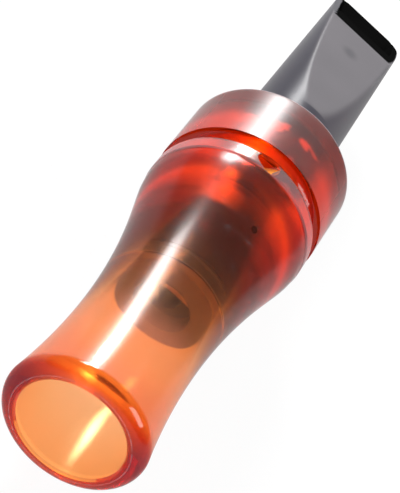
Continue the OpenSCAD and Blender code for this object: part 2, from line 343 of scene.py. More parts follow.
def outer_wall():
    """Stations up the outside: the rim and the groove are arcs of (centre + radius x cos,
    centre + radius x sin), the flare is flare_r, and band and collar are straight."""
    quarter = np.linspace(-np.pi / 2, 0, RIM_ROWS)
    centre_r = float(flare_r(RIM_ROUND)) - RIM_ROUND
    rim = stations(centre_r + RIM_ROUND * np.cos(quarter), RIM_ROUND * (1 + np.sin(quarter)))
    z = np.linspace(RIM_ROUND, SHOULDER_Z, FLARE_ROWS)[1:]
    flare = stations(flare_r(z), z)
    rise, drop = (np.sqrt(GROOVE_ROUND ** 2 - (r - GROOVE_MID_R) ** 2) for r in (COLLAR_R, SHOULDER_R))
    band = stations(SHOULDER_R, np.linspace(SHOULDER_Z, GROOVE_Z - drop, BAND_ROWS)[1:-1])
    start = np.arctan2(-drop, SHOULDER_R - GROOVE_MID_R)
    stop = np.arctan2(rise, COLLAR_R - GROOVE_MID_R) - 2 * np.pi
    swing = np.linspace(start, stop, GROOVE_ROWS)
    groove = stations(GROOVE_MID_R + GROOVE_ROUND * np.cos(swing), GROOVE_Z + GROOVE_ROUND * np.sin(swing))
    collar = stations(COLLAR_R, np.linspace(GROOVE_Z + rise, BARREL_L - COLLAR_EDGE, COLLAR_ROWS)[1:])
    edge = EDGE_SHARES * COLLAR_EDGE + [COLLAR_R - COLLAR_EDGE, BARREL_L - COLLAR_EDGE]
    return np.concatenate([rim, flare, band, groove, collar, edge])


print("outside:", len(outer_wall()), "stations")

# %% Back down the inside
THROAT_R, BELL_BORE_R, BELL_BORE_L = 8.6, 8.9, 14.0
BORE_EDGE, FACE_FROM, ROW_GAP = 0.35, 1.5, 1.0
FACE_ROWS, SOCKET_ROWS, THROAT_ROWS, BELL_ROWS = 5, 30, 20, 12


def inner_wall():
    """Stations back down the inside: the collar's face, the socket, the ledge, the bore, which
    widens from the throat in a straight line, and the flat land inside the rim."""
    face = stations(np.linspace(COLLAR_R - FACE_FROM, SOCKET_R + BORE_EDGE, FACE_ROWS), BARREL_L)
    socket = stations(SOCKET_R, np.linspace(BARREL_L - BORE_EDGE, SEAT_Z, SOCKET_ROWS))
    bore_z = np.append(np.linspace(SEAT_Z, BELL_BORE_L, THROAT_ROWS),
                       np.linspace(BELL_BORE_L - ROW_GAP, BORE_EDGE, BELL_ROWS))
    widen = np.clip((SEAT_Z - bore_z) / (SEAT_Z - BELL_BORE_L), 0, 1)
    bore = stations(THROAT_R + (BELL_BORE_R - THROAT_R) * widen, bore_z)
    return np.concatenate([face, socket, bore, [[BELL_BORE_R + BORE_EDGE, 0.0]]])


barrel_outline = np.concatenate([outer_wall(), inner_wall()])
print("whole outline:", len(barrel_outline), "stations")

# %% Sweep the outline round the axis
BARREL_COLUMNS = 224


def turned(name, outline, steps):
    """An outline of (radius, height) carried round the axis: x = r cos t, y = r sin t, z = h."""
    t = 2 * np.pi * np.arange(steps) / steps
    r, z = outline[:, :1], outline[:, 1:]
    return grid_mesh(name, lay_down(r * np.cos(t), r * np.sin(t), z + 0 * t))


barrel = turned("barrel_skin", barrel_outline, BARREL_COLUMNS)
print("barrel:", len(barrel.data.polygons), "faces")

# %% [markdown]
# ## The lanyard hole
# A small hole is drilled aslant from the band into the groove, so that a cord can pass. Such
# a hole has no simple edge that a grid could follow, so it is cut from the swept wall with a
# Boolean, the way a drill would, and the drill is thrown away.

# %% Drill the lanyard hole
HOLE_R, HOLE_DEPTH, HOLE_TURN, HOLE_BEARING, HOLE_SLANT = 1.6, 5.0, -5.5, 20.0, 42.0
HOLE_ENTRY_Z, DRILL_OVERRUN, DRILL_SIDES, SHARP_EDGE = SHOULDER_Z + 1.7, 1.0, 64, 28


def drill(piece, radius, depth, turn, bearing, slant, entry_z):
    """Cuts a round hole: the drill enters at `entry_z` on the band, `turn` degrees round from
    the front, heads off at `bearing` from the crosswise direction, and dips by `slant`."""
    length = (depth + DRILL_OVERRUN) / MM_PER_M
    bpy.ops.mesh.primitive_cylinder_add(vertices=DRILL_SIDES, radius=radius / MM_PER_M, depth=length)
    bit = bpy.context.object
    shift = Matrix.Translation((0, 0, (DRILL_OVERRUN - depth) / 2 / MM_PER_M))
    down = Matrix.Rotation(np.radians(90), 4, "Y")
    tip = Matrix.Rotation(np.radians(bearing), 4, "Y") @ Matrix.Rotation(np.radians(-slant), 4, "Z")
    spot = Matrix.Translation((0, -SHOULDER_R / MM_PER_M, entry_z / MM_PER_M))
    local = Matrix.Rotation(np.radians(turn), 4, "Z") @ spot @ tip @ down @ shift
    axis_start = Matrix.Translation((0, -CALL_L / 2 / MM_PER_M, AXIS_H / MM_PER_M))
    bit.matrix_world = axis_start @ Matrix.Rotation(np.radians(-90), 4, "X") @ local
    cut = piece.modifiers.new("hole", "BOOLEAN")
    cut.operation, cut.solver, cut.object = "DIFFERENCE", "EXACT", bit
    bpy.context.view_layer.update()
    finished = piece.evaluated_get(bpy.context.evaluated_depsgraph_get())
    cut_mesh = bpy.data.meshes.new_from_object(finished)
    piece.modifiers.clear()
    piece.data = cut_mesh
    bpy.data.objects.remove(bit)


drill(barrel, HOLE_R, HOLE_DEPTH, HOLE_TURN, HOLE_BEARING, HOLE_SLANT, HOLE_ENTRY_Z)
barrel.data.set_sharp_from_angle(angle=np.radians(SHARP_EDGE))
print("barrel after drilling:", len(barrel.data.polygons), "faces")

# %% [markdown]
# ## Maps on the barrel
# A turned piece isn't finished alike all over: its rim and groove are polished and its flare is
# left satin. Painted shade darkens its socket, the collar's face and two parts of its lip.
# A mask in the material could find these places by radius and height, but not where two of
# them meet at one height. So each finish and each painted shade gets a number on every point
# of the mesh, worked out once here, and the material reads it by name. The mesh carries it
# along whatever way the piece moves.


# %% Numbers on a piece's points
def paint(piece, name, values):
    """Stores one number for each point of a piece, which its material can read by name."""
    layer = piece.data.attributes.new(name, "FLOAT", "POINT")
    layer.data.foreach_set("value", np.asarray(values, dtype=np.float32))


def points_of(piece):
    """The points of a piece as (radius, turn, height) arrays about the call's own axis, with
    the turn in degrees from the top."""
    spots = np.empty(len(piece.data.vertices) * 3)
    piece.data.vertices.foreach_get("co", spots)
    x, y, z = (spots.reshape(-1, 3) * MM_PER_M).T
    return np.hypot(x, z - AXIS_H), np.degrees(np.arctan2(x, z - AXIS_H)), y + CALL_L / 2


def climb(value, start, full):
    """0 at `start`, 1 at `full`, straight between them and level beyond."""
    return np.clip((value - start) / (full - start), 0, 1)


def about(turn, centre, spread):
    """A bell curve round the axis: e to the power of minus (turn - centre, over spread) squared."""
    return np.exp(-(((turn - centre + 180) % 360 - 180) / spread) ** 2)


radius, turn, height = points_of(barrel)
print("barrel points:", len(radius))

# %% Polished and drilled places
NEAR, CLOSE, INSIDE = 0.1, 0.02, 0.5
BELL_FROM_Z, BELL_TO_Z, HOLE_TO_Z, HOLE_TO_R = 0.2, 22, 58.4, 9.5

in_bell = (radius < BELL_BORE_R + INSIDE) & (height > BELL_FROM_Z) & (height < BELL_TO_Z)
in_groove = (np.abs(height - GROOVE_Z) < GROOVE_ROUND + NEAR) & (radius < GROOVE_MID_R + CLOSE / 2)
off_groove = np.abs(np.hypot(height - GROOVE_Z, radius - GROOVE_MID_R) - GROOVE_ROUND) > NEAR / 2
in_hole = (height > SHOULDER_Z + NEAR) & (height < HOLE_TO_Z) & off_groove
in_hole &= (radius > HOLE_TO_R) & (radius < SHOULDER_R - CLOSE)
on_rim = (height < RIM_ROUND + NEAR) & (radius > BELL_BORE_R + NEAR)
paint(barrel, "drilled", in_hole)
paint(barrel, "polish", ~in_bell & (on_rim | in_groove & ~in_hole))
print("points on the hole's wall:", int(in_hole.sum()), "and in the groove:", int(in_groove.sum()))

# %% Painted shade on the socket and the collar's face
SHADE_FROM_Z, SHADE_TO_Z = (32, 40), (47.5, 43.5)

in_socket = radius < SOCKET_R + INSIDE
on_face = (height > BARREL_L - CLOSE) & (radius < COLLAR_R - COLLAR_EDGE + NEAR)
# Painted shade: the socket is darkened between these heights, and the collar's face all over.
socket_shade = in_socket * climb(height, *SHADE_FROM_Z) * climb(height, *SHADE_TO_Z)
paint(barrel, "shaded", np.maximum(socket_shade, on_face))
print("points rubbed dark in the socket:", int((socket_shade > 0).sum()))

# %% The painted streak in the bore, and painted shade on the lip
STREAK_TURN, STREAK_SPREAD = 159.0, 10.95
STREAK_FROM_Z, STREAK_TO_Z = (0.5, 8.5), (BELL_TO_Z, 10)
LIP_INNER_R, LIP_TO_Z = 9.7, (3.6, 2.4)
LIP_SHADE_TURNS = ((-84, 28), (70, 20))

streak = in_bell * about(turn, STREAK_TURN, STREAK_SPREAD)
paint(barrel, "lit", streak * climb(height, *STREAK_FROM_Z) * climb(height, *STREAK_TO_Z))
# Painted shade: two parts of the lip's rounding, at the turns listed above, get a dark red.
on_lip = (radius > LIP_INNER_R) * climb(height, *LIP_TO_Z)
paint(barrel, "lip_shade", on_lip * sum(about(turn, centre, spread) for centre, spread in LIP_SHADE_TURNS))
print("points in the streak:", int((streak > 0.5).sum()), "and on the lip:", int((on_lip > 0).sum()))

# %% [markdown]
# ## The bill's section
# The mouthpiece is one moulding: a long tube that fits the barrel's socket, and above the
# collar a taper that two flat facets turn into a duckbill. A slanting cut opens the bill.
# Cutting a cone with planes by Boolean gives knife-sharp edges that need a bevel each. A
# moulding's corners are soft, so here the section's radius in each direction is a soft
# minimum of three: the circle's radius and the distances of the two facets.

# %% The bill's section
TIP_R, FACET_Z, FRONT_H, BACK_H = 7.9, 84.2, 1.35, 3.15
TIP_CORNER, CUT_L, WALL, SIDE_WALL = 2.9, 14.2, 1.1, 1.2
EDGE_ON, OUT_OF_REACH = 1e-3, 1e3


def tapered(z, low_r, tip_r):
    """A radius that is straight in the tube and then runs in a straight taper to the tip."""
    return low_r + (tip_r - low_r) * climb(z, BARREL_L, CALL_L)


def body_r(z):
    """The round body's radius."""
    return tapered(z, TUBE_R, TIP_R)


FACET_R = float(body_r(FACET_Z))
FRONT_SLOPE = (FACET_R - FRONT_H) / (CALL_L - FACET_Z)
BACK_SLOPE = (FACET_R - BACK_H) / (CALL_L - FACET_Z)


def section_r(angle, z, round_r, inset, soft):
    """Distance from the axis to the bill's surface. angle runs from +X towards the front
    (-Y). In words: the soft minimum of the circle's radius and of each facet's distance
    divided by how squarely the direction meets that facet. The windway's facets lie `inset`
    further in, and `soft` says how much the corners are eased."""
    front = FRONT_H + FRONT_SLOPE * (CALL_L - z) - inset / np.cos(np.arctan(FRONT_SLOPE))
    rear = BACK_H + BACK_SLOPE * (CALL_L - z) - inset / np.cos(np.arctan(BACK_SLOPE))
    facing = np.sin(angle)
    to_front = np.where(facing > EDGE_ON, front / np.maximum(facing, EDGE_ON), OUT_OF_REACH)
    to_rear = np.where(facing < -EDGE_ON, rear / np.maximum(-facing, EDGE_ON), OUT_OF_REACH)
    return soft_min(soft_min(round_r, to_front, soft), to_rear, soft)


print("facet slopes:", round(FRONT_SLOPE, 4), round(BACK_SLOPE, 4))

# %% [markdown]
# ## The mouth
# The real bill ends in a slanting cut with two rounded corners. It could be cut off with a
# plane, but that leaves a ring of thin triangles round the opening, which show in a gloss.
# Instead each column of the grid is made just as long as the cut allows, so the rows bunch up
# evenly and end exactly on the rim.

# %% The slanting cut
LIP_Y = BACK_H - WALL / np.cos(np.arctan(BACK_SLOPE))
CUT_H = FRONT_H + FRONT_SLOPE * CUT_L
CUT_RISE = CUT_L / (LIP_Y + CUT_H)


def mouth_end(x, y):
    """Height at which the bill ends: the slanting cut rises with y from the front facet to the
    rear lip, and the tip's corners are rounded in x."""
    cut = CALL_L - CUT_L + (y + CUT_H) * CUT_RISE
    over = np.clip(np.abs(x) - (TIP_R - TIP_CORNER), 0, TIP_CORNER)
    corner = CALL_L - TIP_CORNER + np.sqrt(np.maximum(TIP_CORNER ** 2 - over ** 2, 0))
    return np.minimum(cut, corner)


print("the cut rises", round(CUT_RISE, 3), "mm for each mm from front to back")

# %% [markdown]
# ## The moulding
# The wall is again one closed grid: up the tube's outside with the grooves of its two seals,
# up the bill, over the rim of the mouth, down the windway and down the tube's bore. The
# windway follows the outside at the wall's thickness, as it does in a good moulding. The
# columns crowd towards the bill's narrow sides, where the section bends most.

# %% One skin of the bill
TRIES, KEPT = 60, 0.4
EASE_BELOW, EASE_OVER, EASE_LEAST = 6, 20, 0.05


def bore_r(z):
    """The windway's round radius."""
    return tapered(z, TUBE_BORE_R, TIP_R - SIDE_WALL)


def skin(round_at, angle, rows, inset, soft):
    """(x, y, z) arrays of one skin above the collar. Each column climbs from the collar's face
    to its own end on the cut, found by repeated substitution: end = mouth_end(section(end)),
    with a part of the old end kept each time, so that it settles. The corners are almost
    sharp where the facets begin and ease towards the tip."""
    end = np.full(len(angle), CALL_L)
    for _ in range(TRIES):
        r = section_r(angle, end, round_at(end), inset, soft)
        end = KEPT * end + (1 - KEPT) * mouth_end(r * np.cos(angle), -r * np.sin(angle))
    z = BARREL_L + (end[None, :] - BARREL_L) * rows[:, None]
    ease = soft * np.clip((z - FACET_Z + EASE_BELOW) / EASE_OVER, EASE_LEAST, 1)
    r = section_r(angle[None, :], z, round_at(z), inset, ease)
    return r * np.cos(angle), -r * np.sin(angle), z


print("windway radius at the collar and the tip:", bore_r(BARREL_L), round(float(bore_r(CALL_L)), 2))

# %% The tube below the collar
SEAL_ABOVE, SEAL_BELOW, SEAL_D = 2.6, 21.0, 1.0
SEAL_GAP, SEAL_FLOOR_GAP, SEAL_SIDE_GAP = 0.03, 0.02, 0.15
TUBE_EDGE, NICK, TUBE_STOPS_Z = 0.15, 0.02, (62.0, 69.0)


def round_rows(outline, angle):
    """Round rows below the collar from (radius, height) stations."""
    r, z = outline[:, :1], outline[:, 1:]
    return r * np.cos(angle), -r * np.sin(angle), z + 0 * angle


def seal_groove(middle):
    """Stations of the square groove for a seal, from its lower edge to its upper one."""
    low, high = (middle + side * (SEAL_D / 2 + SEAL_SIDE_GAP) for side in (-1, 1))
    floor_r = SOCKET_R - SEAL_GAP - SEAL_D - SEAL_FLOOR_GAP
    return [[TUBE_R, low - NICK], [TUBE_R - NICK, low], [floor_r, low + NICK / 2],
            [floor_r, high - NICK / 2], [TUBE_R - NICK, high], [TUBE_R, high + NICK]]


def tube_outline():
    """Stations up the tube's outside, from its lower end to just below the collar's face."""
    foot = [[TUBE_BORE_R, SEAT_Z], [TUBE_R - TUBE_EDGE, SEAT_Z], [TUBE_R, SEAT_Z + TUBE_EDGE]]
    grooves = seal_groove(SEAT_Z + SEAL_ABOVE) + seal_groove(BARREL_L - SEAL_BELOW)
    return np.array(foot + grooves + [[TUBE_R, z] for z in TUBE_STOPS_Z])


print("tube outline:", len(tube_outline()), "stations")

# %% The whole moulding
COLUMNS, CROWD, OUTER_SOFT, INNER_SOFT = 288, 0.55, 0.35, 0.30
OUTER_ROWS, INNER_ROWS, MOUTH_ROWS, BORE_ROWS = 96, 60, 8, 5
BORE_TOP_Z, BORE_LOW_Z, BILL_SHARP_EDGE = 69, 38, 35


def mouthpiece_grid():
    """The rows of the moulding in order, as arrays x, y, z and a fourth one, which is 0 for rows
    of the outside and 1 for rows of the rim and the windway, which get painted shade."""
    lean = 2 * np.pi * np.arange(COLUMNS) / COLUMNS
    angle = np.arctan2(np.sin(lean) * CROWD, np.cos(lean))
    below = round_rows(tube_outline(), angle)
    outer = skin(body_r, angle, np.linspace(0, 1, OUTER_ROWS), 0.0, OUTER_SOFT)
    inner = skin(bore_r, angle, np.linspace(1, 0, INNER_ROWS), WALL, INNER_SOFT)
    across = np.linspace(0, 1, MOUTH_ROWS)[1:-1, None]
    x, y = (o[-1] + (i[0] - o[-1]) * across for o, i in zip(outer[:2], inner[:2]))
    rim = (x, y, mouth_end(x, y))
    bore = round_rows(stations(TUBE_BORE_R, np.linspace(BORE_TOP_Z, BORE_LOW_Z, BORE_ROWS)), angle)
    parts = (below, outer, rim, inner, bore)
    # Painted shade: rows of the rim and the windway are marked 1, for black.
    in_shade = [np.full(part[0].shape, dark) for part, dark in zip(parts, (0.0, 0.0, 1.0, 1.0, 1.0))]
    return [np.concatenate(axis) for axis in zip(*parts)] + [np.concatenate(in_shade)]


x, y, z, in_shade = mouthpiece_grid()
mouthpiece = grid_mesh("mouthpiece_skin", lay_down(x, y, z))
mouthpiece.data.set_sharp_from_angle(angle=np.radians(BILL_SHARP_EDGE))
print("mouthpiece:", len(mouthpiece.data.polygons), "faces")

# %% Its rows of painted shade, and its front facet
# The mouth's rim on the left catches the light, so it stays grey; the rest of the rim and the
# windway are painted black as shade.
left_rim = (in_shade > 0) & (x < -(TIP_R - SIDE_WALL) - NEAR) & (z > CALL_L - CUT_L)
off_facet = (-y - FRONT_H - FRONT_SLOPE * (CALL_L - z)) / OUTER_SOFT
facet = np.exp(-off_facet ** 2) * (z > FACET_Z) * (in_shade == 0)
paint(mouthpiece, "in_shade", np.where(left_rim, 0, in_shade).ravel())
paint(mouthpiece, "facet", facet.ravel())
print("points on the front facet:", int((facet > 0.5).sum()))

# %% [markdown]
# ## Who carries what
# The mouthpiece pulls out of the barrel, so the two skins must travel with different bodies.
# Each rides on the body of the CAD piece that it stands for and takes over its look. The
# physics keeps the CAD pieces for collision.

# %% Ride and replace
for piece, node, body, slot in ((barrel, "barrel", "barrel", "barrel_acrylic"),
                                (mouthpiece, "mouthpiece", "mouthpiece", "smoke_plastic")):
    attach(piece, body)
    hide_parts(node)

# %% [markdown]
# ## Masks and lobes
# The finishes need two more kinds of helper: masks, which say where something is, and lobes,
# which say how light leaves the surface there. All masks read Object coordinates in
# millimetres about the call's axis, so a pattern stays on its piece when the piece moves.


# %% Where a point lies
def object_place(tree):
    """The place on the piece, in metres."""
    return tree.nodes.new("ShaderNodeTexCoord").outputs["Object"]


def axis_place(tree, place):
    """The place as the call's own measures in mm: radius from the axis, height above the
    bell's rim, and distance across to the right."""
    split = tree.nodes.new("ShaderNodeSeparateXYZ")
    feed(tree, place, split.inputs[0])
    across = times(tree, split.outputs[0], MM_PER_M)
    upward = times(tree, split.outputs[2], MM_PER_M, -AXIS_H)
    radius = math(tree, "SQRT", times(tree, across, across, times(tree, upward, upward)))
    return radius, times(tree, split.outputs[1], MM_PER_M, CALL_L / 2), across


def painted(tree, name):
    """The value painted on the piece's points under that name."""
    node = tree.nodes.new("ShaderNodeAttribute")
    node.attribute_name = name
    return node.outputs["Fac"]


print("painted on the barrel:", sorted(a.name for a in barrel.data.attributes if a.data_type == "FLOAT"))


# %% Masks
def ramp(tree, value, low, high):
    """0 below low, 1 above high, and a smooth step between."""
    node = tree.nodes.new("ShaderNodeMapRange")
    node.interpolation_type = "SMOOTHSTEP"
    node.inputs["From Min"].default_value, node.inputs["From Max"].default_value = low, high
    feed(tree, value, node.inputs["Value"])
    return node.outputs[0]


def between(tree, value, low, high, soft=0.1):
    """1 where the value lies between low and high, falling to 0 over the length soft."""
    return math(tree, "SUBTRACT", ramp(tree, value, low - soft, low), ramp(tree, value, high, high + soft))


def at_spot(tree, place, reach, height, turn, size, soft=0.25):
    """1 within `size` mm of the point that lies `reach` from the axis at that height and turn
    (degrees from the top): reach times (sin, cos) of the turn. It fades over `soft` sizes."""
    node = tree.nodes.new("ShaderNodeVectorMath")
    node.operation = "DISTANCE"
    x, up = reach * np.sin(np.radians(turn)), AXIS_H + reach * np.cos(np.radians(turn))
    node.inputs[1].default_value = (x / MM_PER_M, (height - CALL_L / 2) / MM_PER_M, up / MM_PER_M)
    feed(tree, place, node.inputs[0])
    return ramp(tree, times(tree, node.outputs["Value"], MM_PER_M), size * (1 + soft), size)


print("helpers for masks:", [f.__name__ for f in (ramp, between, at_spot)])


# %% Cloudy patterns
def noise(tree, place, scale, detail=3.0):
    """The value of a cloudy pattern of that scale at the place."""
    node = tree.nodes.new("ShaderNodeTexNoise")
    node.inputs["Scale"].default_value, node.inputs["Detail"].default_value = scale, detail
    feed(tree, place, node.inputs["Vector"])
    return node.outputs["Fac"]


def stretched(tree, place, scale):
    """The place with each of its parts multiplied by its own number, which draws a pattern out."""
    node = tree.nodes.new("ShaderNodeVectorMath")
    node.operation = "MULTIPLY"
    node.inputs[1].default_value = scale
    feed(tree, place, node.inputs[0])
    return node.outputs[0]


print("helpers for patterns:", [f.__name__ for f in (noise, stretched)])


# %% Lobes, and mixing them
def lobe(tree, kind, color, roughness=None, ior=None):
    """One surface lobe of that kind, with its colour, roughness and index of refraction."""
    node = tree.nodes.new("ShaderNodeBsdf" + kind)
    node.inputs["Color"].default_value = (*color, 1)
    if roughness is not None:
        feed(tree, roughness, node.inputs["Roughness"])
    if ior is not None:
        node.inputs["IOR"].default_value = ior
    return node.outputs[0]


def mixed(tree, share, first, second):
    """A Mix Shader: none of the second at share 0, all of it at 1."""
    node = tree.nodes.new("ShaderNodeMixShader")
    for value, socket in zip((share, first, second), node.inputs):
        feed(tree, value, socket)
    return node.outputs[0]


def tint(tree, share, first, second):
    """A colour mixed from two: each is an (r, g, b) or another node's output."""
    node = tree.nodes.new("ShaderNodeMixRGB")
    feed(tree, share, node.inputs["Fac"])
    for socket, value in (("Color1", first), ("Color2", second)):
        if isinstance(value, tuple):
            node.inputs[socket].default_value = (*value, 1)
        else:
            feed(tree, value, node.inputs[socket])
    return node.outputs[0]


print("helpers for lobes:", [f.__name__ for f in (lobe, mixed, tint)])

# %% [markdown]
# ## Orange acrylic: gloss and glass
# Polished acrylic mirrors a few parts in a hundred of the light and lets the rest through. A
# Principled shader does both, but its gloss and its refraction share one roughness, and this
# barrel needs them apart: a turned surface blurs the reflection of a lamp much more than what
# lies just behind it. So gloss and refraction are separate lobes, mixed by the Fresnel share
# of acrylic's index. The gloss is a tight lobe with some of a broad one, which gives a streak
# with soft flanks. The bore's streak is a painted patch that mirrors more.

# %% What happens at the acrylic's skin
ACRYLIC_INDEX, POLISH, BROAD = 1.49, 0.04, 0.42
TIGHT, TIGHT_WEAR, TIGHT_COLLAR = 0.14, 0.06, 0.12
BROAD_SHARE, BROAD_SHARE_COLLAR = 0.12, 0.18
BLUR_POLISHED, BLUR_WAIST, BLUR_SHOULDER, STREAK_MIRROR = 0.02, 0.06, 0.18, 0.45
WEAR_SCALE, THICK_Z, COLLAR_Z = 160.0, (28.0, 46.0), (61.0, 61.2)
WHITE, GLASS_TINT = (1.0, 1.0, 1.0), (1.0, 0.90, 0.80)


def acrylic_gloss(tree, place, satin, collar):
    """Light mirrored by the skin: rougher where the turning left it satin, and most on the
    collar."""
    tight = times(tree, noise(tree, place, WEAR_SCALE), TIGHT_WEAR, TIGHT)
    tight = times(tree, collar, TIGHT_COLLAR, tight)
    sharp = lobe(tree, "Glossy", WHITE, times(tree, satin, tight, POLISH))
    broad = lobe(tree, "Glossy", WHITE, times(tree, satin, BROAD, POLISH))
    return mixed(tree, times(tree, collar, BROAD_SHARE_COLLAR, BROAD_SHARE), sharp, broad)


def acrylic_glass(tree, height, satin, gloss):
    """Refraction with the gloss over it. What lies behind is blurred more at the thick
    shoulder than at the waist."""
    blur = times(tree, ramp(tree, height, *THICK_Z), BLUR_SHOULDER, BLUR_WAIST)
    glass = lobe(tree, "Refraction", GLASS_TINT, times(tree, satin, blur, BLUR_POLISHED), ACRYLIC_INDEX)
    fresnel = tree.nodes.new("ShaderNodeFresnel")
    fresnel.inputs["IOR"].default_value = ACRYLIC_INDEX
    mirror = larger(tree, fresnel.outputs[0], times(tree, painted(tree, "lit"), STREAK_MIRROR))
    return mixed(tree, mirror, glass, gloss)


squarely = ((ACRYLIC_INDEX - 1) / (ACRYLIC_INDEX + 1)) ** 2
print("acrylic mirrors", round(100 * squarely, 1), "% of the light that meets it squarely")

# %% [markdown]
# ## Orange acrylic: haze, marks and a painted highlight
# A satin skin also scatters a trace of light, which makes the bell look milky and the band
# and the collar's face pale. Full diffuse paint would hide the inside, so it is only a thin
# share of a diffuse lobe, warm on the bell and pale on the band. The same pale lobe draws the
# marks of use, hair-fine scratches on the shoulder, and a painted highlight: a broken bright
# line on the flat land inside the rim, where it turns into the rim's rounding. Noise cut to a
# narrow range gives such thin lines.

# %% Haze, marks and a painted highlight on the acrylic
FROST_BELL, FROST = 0.20, 0.018
PALE_BAND, PALE_COLLAR, PALE_TOP = 0.14, 0.04, 0.30
PALE_SCRATCH, LAND_HIGHLIGHT = 0.08, 0.45
WARM_HAZE, PALE_HAZE = (0.98, 0.40, 0.24), (0.80, 0.66, 0.70)
FROST_Z, BAND_Z, TOP_Z = (24.0, 14.0), (SHOULDER_Z, 57.9, 0.15), (73.8, 74.2)
SCRATCH_SCALE, SCRATCH_STRETCH, SCRATCH_CUT = 210.0, (0.30, 1.0, 0.55), (0.497, 0.503, 0.003)
HANDLED_SCALE, HANDLED_CUT, HANDLED_Z = 60.0, (0.50, 0.60), (34.0, 42.0)
LAND_SCALE, LAND_CUT, LAND_R, LAND_Z = 2600.0, (0.30, 0.65), (9.78, 9.88, 0.05), (0.6, 0.3)


def warm_frost(tree, height, satin, clear):
    """A trace of warm haze over the clear acrylic, most on the bell."""
    frost = times(tree, ramp(tree, height, *FROST_Z), FROST_BELL, FROST)
    return mixed(tree, times(tree, satin, frost), clear, lobe(tree, "Diffuse", WARM_HAZE))


def pale_share(tree, height, satin, collar):
    """Share of the pale haze: the band, the collar, and most on the collar's face."""
    band = between(tree, height, *BAND_Z)
    share = times(tree, band, PALE_BAND, times(tree, collar, PALE_COLLAR))
    return times(tree, times(tree, ramp(tree, height, *TOP_Z), PALE_TOP, share), satin)


def marks_and_land_highlight(tree, place, radius, height, satin):
    """Share of the pale haze in the marks: scratches where a slow noise says that the call was
    handled, and the broken line on the land, which is a painted highlight."""
    fine = noise(tree, stretched(tree, place, SCRATCH_STRETCH), SCRATCH_SCALE, detail=4.0)
    handled = ramp(tree, noise(tree, place, HANDLED_SCALE), *HANDLED_CUT)
    handled = times(tree, handled, ramp(tree, height, *HANDLED_Z))
    scratches = times(tree, times(tree, between(tree, fine, *SCRATCH_CUT), handled), satin)
    # Painted highlight: a broken bright line where the land turns into the rim's rounding.
    land = times(tree, between(tree, radius, *LAND_R), ramp(tree, height, *LAND_Z))
    land = times(tree, land, ramp(tree, noise(tree, place, LAND_SCALE), *LAND_CUT))
    return times(tree, scratches, PALE_SCRATCH, times(tree, land, LAND_HIGHLIGHT))


print("share of warm haze on the bell:", round(FROST_BELL + FROST, 3), "and elsewhere:", FROST)

# %% [markdown]
# ## Orange acrylic: colour
# Dyed acrylic soaks up green and blue along the way, so thick places glow a deeper red than
# thin ones. A coloured surface would be the same everywhere, so the colour is absorption
# inside the solid. A few places need colour on the skin too: the drilled wall is rough and
# bright, and a gate mark shows as a dark speck near the shoulder. Others get painted shade:
# the socket and the collar's face are darkened, which dims the light mirrored inside the wall
# there, and two parts of the lip are painted a dark red where less light comes through it.

# %% Coloured places on the skin
# Colours laid on the skin: the drilled wall's orange, then painted shade, dark for the socket and the
# collar's face and dark red for the lip.
DRILLED, SHADE_DARK, LIP_SHADE_RED = (1.0, 0.38, 0.04), (0.05, 0.012, 0.008), (0.20, 0.05, 0.07)
DRILLED_SHARE, SHADE_SHARE, LIP_SHADE_SHARE = 0.80, 0.60, 0.42
GATE_Z, GATE_TURN, GATE_SIZE = 45.2, 12.8, 0.55


def skin_colors(tree, place, surface):
    """The coloured places of the skin, laid over the surface one after the other. The socket
    and the collar's face get painted shade, and so do two parts of the lip.
    """
    drilled = times(tree, painted(tree, "drilled"), DRILLED_SHARE)
    surface = mixed(tree, drilled, surface, lobe(tree, "Diffuse", DRILLED))
    gate = at_spot(tree, place, float(flare_r(GATE_Z)), GATE_Z, GATE_TURN, GATE_SIZE)
    # Painted shade on the socket and the collar's face, together with the dark gate mark.
    dark = larger(tree, times(tree, painted(tree, "shaded"), SHADE_SHARE), gate)
    surface = mixed(tree, dark, surface, lobe(tree, "Diffuse", SHADE_DARK))
    # Painted shade on two parts of the lip: a dark red.
    deep = times(tree, painted(tree, "lip_shade"), LIP_SHADE_SHARE)
    return mixed(tree, deep, surface, lobe(tree, "Diffuse", LIP_SHADE_RED))


print("gate mark at", GATE_Z, "mm, where the barrel's radius is", round(float(flare_r(GATE_Z)), 2), "mm")

# %% The whole barrel material
SOAK_COLOR, SOAK_DENSITY = (0.990, 0.620, 0.060, 1), 560.0


def orange_acrylic():
    """The barrel's finish: glass and gloss, then haze, marks and a painted highlight, then the
    coloured places and the painted shade, and absorption inside."""
    material, tree, output = new_material("orange_acrylic")
    place = object_place(tree)
    radius, height, _ = axis_place(tree, place)
    satin = math(tree, "SUBTRACT", 1.0, painted(tree, "polish"))
    collar = ramp(tree, height, *COLLAR_Z)
    clear = acrylic_glass(tree, height, satin, acrylic_gloss(tree, place, satin, collar))
    body = warm_frost(tree, height, satin, clear)
    marks = marks_and_land_highlight(tree, place, radius, height, satin)
    pale = larger(tree, pale_share(tree, height, satin, collar), marks)
    surface = mixed(tree, pale, body, lobe(tree, "Diffuse", PALE_HAZE))
    feed(tree, skin_colors(tree, place, surface), output.inputs["Surface"])
    soak = tree.nodes.new("ShaderNodeVolumeAbsorption")
    soak.inputs["Color"].default_value = SOAK_COLOR
    soak.inputs["Density"].default_value = SOAK_DENSITY
    feed(tree, soak.outputs[0], output.inputs["Volume"])
    return material


barrel.data.materials.clear()
barrel.data.materials.append(orange_acrylic())
print("barrel material:", len(barrel.data.materials[0].node_tree.nodes), "nodes")

